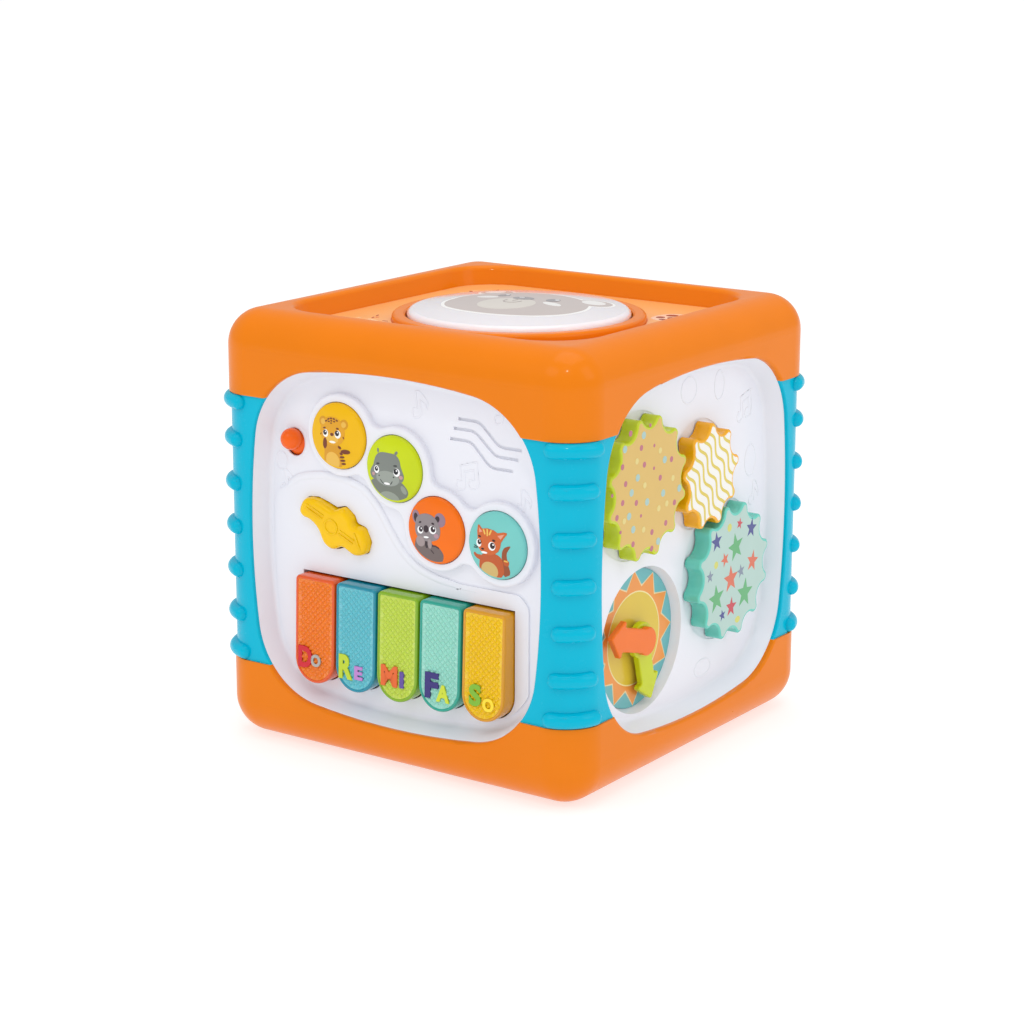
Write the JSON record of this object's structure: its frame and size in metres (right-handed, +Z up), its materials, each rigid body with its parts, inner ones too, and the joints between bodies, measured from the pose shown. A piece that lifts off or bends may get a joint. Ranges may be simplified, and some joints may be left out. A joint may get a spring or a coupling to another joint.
{
  "type": "baby activity cube",
  "caption": "Cube-shaped electronic activity toy with light-up drum, piano keys, picture buttons, meshing gears and a play clock on recessed side panels.",
  "frame": {"origin": "centre of the underside", "axes": "+Z up, -Y is the piano side, +X is the gear and clock side"},
  "size_m": [0.235, 0.235, 0.231],
  "materials": {
    "orange_shell": "gloss",
    "teal_shell": "gloss",
    "white_panel": "gloss",
    "white_dome": "gloss",
    "print_yellow": "satin",
    "inner_white": "matte",
    "board_green": "satin",
    "silicone_grey": "matte",
    "led_clear": "gloss",
    "button_yellow": "gloss",
    "button_lime": "gloss",
    "button_orange": "gloss",
    "button_mint": "gloss",
    "key_orange": "gloss",
    "key_blue": "gloss",
    "key_lime": "gloss",
    "key_mint": "gloss",
    "key_yellow": "gloss",
    "amber_lens": "gloss",
    "red_orange": "gloss",
    "gear_green": "gloss",
    "gear_yellow": "gloss",
    "gear_mint": "gloss",
    "clock_print": "satin",
    "hand_orange": "gloss",
    "hand_lime": "gloss",
    "steel": "satin",
    "switch_black": "matte",
    "battery_wrap": "satin",
    "speaker_black": "matte",
    "mirror_film": "mirror"
  },
  "bodies": {
    "root": {"top_frame": "orange_shell", "bottom_frame": "orange_shell", "corner_post_front_right": "teal_shell", "corner_post_front_left": "teal_shell", "corner_post_back_right": "teal_shell", "corner_post_back_left": "teal_shell", "panel_piano": "white_panel", "panel_gears": "white_panel", "panel_back": "white_panel", "panel_left": "white_panel", "tray_label": "print_yellow", "drum_ring": "orange_shell", "drum_plate": "inner_white", "drum_light_board": "board_green", "switch_pads": "silicone_grey", "key_axle": "steel", "lever_pin": "steel", "lever_switch": "inner_white", "speaker": "speaker_black", "main_board": "board_green", "key_board": "board_green", "leds": "led_clear", "board_screws": "steel", "clock_face": "clock_print", "clock_spindle": "inner_white", "mirror": "mirror_film", "mirror_ring": "teal_shell", "roller_axle": "steel", "battery_box": "inner_white", "battery_cover": "orange_shell", "battery_cover_screw": "steel", "batteries": "battery_wrap", "battery_contacts": "steel", "case_screws": "steel", "panel_screws": "steel"},
    "drum": {"drum_dome": "white_dome"},
    "leopard_button": {"button_leopard": "button_yellow"},
    "hippo_button": {"button_hippo": "button_lime"},
    "koala_button": {"button_koala": "button_orange"},
    "cat_button": {"button_cat": "button_mint"},
    "orange_key": {"key_orange": "key_orange"},
    "blue_key": {"key_blue": "key_blue"},
    "lime_key": {"key_lime": "key_lime"},
    "mint_key": {"key_mint": "key_mint"},
    "yellow_key": {"key_yellow": "key_yellow"},
    "guitar": {"guitar_button": "amber_lens"},
    "lever": {"mode_lever": "red_orange"},
    "green_gear": {"gear_green": "gear_green", "gear_axle_green": "steel"},
    "yellow_gear": {"gear_yellow": "gear_yellow", "gear_axle_yellow": "steel"},
    "mint_gear": {"gear_mint": "gear_mint", "gear_axle_mint": "steel"},
    "hour": {"hour_hand": "hand_orange"},
    "minute": {"minute_hand": "hand_lime"},
    "switch": {"power_switch": "switch_black"},
    "spinner": {"spinner_disc": "button_orange", "spinner_axle": "steel"},
    "slider": {"slider_knob": "hand_lime"},
    "roller_drum": {"roller": "gear_yellow"}
  },
  "joints": [
    {"name": "drum_press", "type": "slide", "parent": "root", "child": "drum", "axis": [0, 0, -1], "range_m": [0, 0.002], "stiffness_N_per_m": 900, "springref_m": -0.003},
    {"name": "leopard_press", "type": "slide", "parent": "root", "child": "leopard_button", "axis": [0, 1, 0], "range_m": [0, 0.0025], "stiffness_N_per_m": 400, "springref_m": -0.002},
    {"name": "hippo_press", "type": "slide", "parent": "root", "child": "hippo_button", "axis": [0, 1, 0], "range_m": [0, 0.0025], "stiffness_N_per_m": 400, "springref_m": -0.002},
    {"name": "koala_press", "type": "slide", "parent": "root", "child": "koala_button", "axis": [0, 1, 0], "range_m": [0, 0.0025], "stiffness_N_per_m": 400, "springref_m": -0.002},
    {"name": "cat_press", "type": "slide", "parent": "root", "child": "cat_button", "axis": [0, 1, 0], "range_m": [0, 0.0025], "stiffness_N_per_m": 400, "springref_m": -0.002},
    {"name": "orange_key_press", "type": "hinge", "parent": "root", "child": "orange_key", "pos_m": [0.0018, -0.0975, 0.091], "axis": [1, 0, 0], "range_deg": [0, 4], "stiffness_Nm_per_rad": 0.6, "springref_deg": -8.59},
    {"name": "blue_key_press", "type": "hinge", "parent": "root", "child": "blue_key", "pos_m": [0.0018, -0.0975, 0.091], "axis": [1, 0, 0], "range_deg": [0, 4], "stiffness_Nm_per_rad": 0.6, "springref_deg": -8.59},
    {"name": "lime_key_press", "type": "hinge", "parent": "root", "child": "lime_key", "pos_m": [0.0018, -0.0975, 0.091], "axis": [1, 0, 0], "range_deg": [0, 4], "stiffness_Nm_per_rad": 0.6, "springref_deg": -8.59},
    {"name": "mint_key_press", "type": "hinge", "parent": "root", "child": "mint_key", "pos_m": [0.0018, -0.0975, 0.091], "axis": [1, 0, 0], "range_deg": [0, 4], "stiffness_Nm_per_rad": 0.6, "springref_deg": -8.59},
    {"name": "yellow_key_press", "type": "hinge", "parent": "root", "child": "yellow_key", "pos_m": [0.0018, -0.0975, 0.091], "axis": [1, 0, 0], "range_deg": [0, 4], "stiffness_Nm_per_rad": 0.6, "springref_deg": -8.59},
    {"name": "guitar_press", "type": "slide", "parent": "root", "child": "guitar", "axis": [0, 1, 0], "range_m": [0, 0.0015], "stiffness_N_per_m": 400, "springref_m": -0.002},
    {"name": "lever_flip", "type": "hinge", "parent": "root", "child": "lever", "pos_m": [-0.0707, -0.093, 0.1635], "axis": [1, 0, 0], "range_deg": [0, 20]},
    {"name": "green_gear_spin", "type": "hinge", "parent": "root", "child": "green_gear", "pos_m": [0.1, -0.0452, 0.1529], "axis": [1, 0, 0], "continuous": true},
    {"name": "yellow_gear_spin", "type": "hinge", "parent": "root", "child": "yellow_gear", "pos_m": [0.1, 0.0165, 0.1472], "axis": [1, 0, 0], "continuous": true},
    {"name": "mint_gear_spin", "type": "hinge", "parent": "root", "child": "mint_gear", "pos_m": [0.1, 0.0415, 0.0908], "axis": [1, 0, 0], "continuous": true},
    {"name": "hour_hand_turn", "type": "hinge", "parent": "root", "child": "hour", "pos_m": [0.1, -0.0354, 0.07], "axis": [1, 0, 0], "continuous": true},
    {"name": "minute_hand_turn", "type": "hinge", "parent": "root", "child": "minute", "pos_m": [0.1, -0.0354, 0.07], "axis": [1, 0, 0], "continuous": true},
    {"name": "power_switch_slide", "type": "slide", "parent": "root", "child": "switch", "axis": [1, 0, 0], "range_m": [0, 0.008]},
    {"name": "spinner_spin", "type": "hinge", "parent": "root", "child": "spinner", "pos_m": [0, 0.1, 0.149], "axis": [0, 1, 0], "continuous": true},
    {"name": "slider_sweep", "type": "hinge", "parent": "root", "child": "slider", "pos_m": [0, 0.1, 0.15], "axis": [0, 1, 0], "range_deg": [-38, 38]},
    {"name": "roller_spin", "type": "hinge", "parent": "root", "child": "roller_drum", "pos_m": [-0.0955, 0, 0.068], "axis": [0, 1, 0], "continuous": true}
  ],
  "couplings": [
    {"joint": "yellow_gear_spin", "follows": "green_gear_spin", "ratio": -1.3333},
    {"joint": "mint_gear_spin", "follows": "green_gear_spin", "ratio": 1}
  ]
}
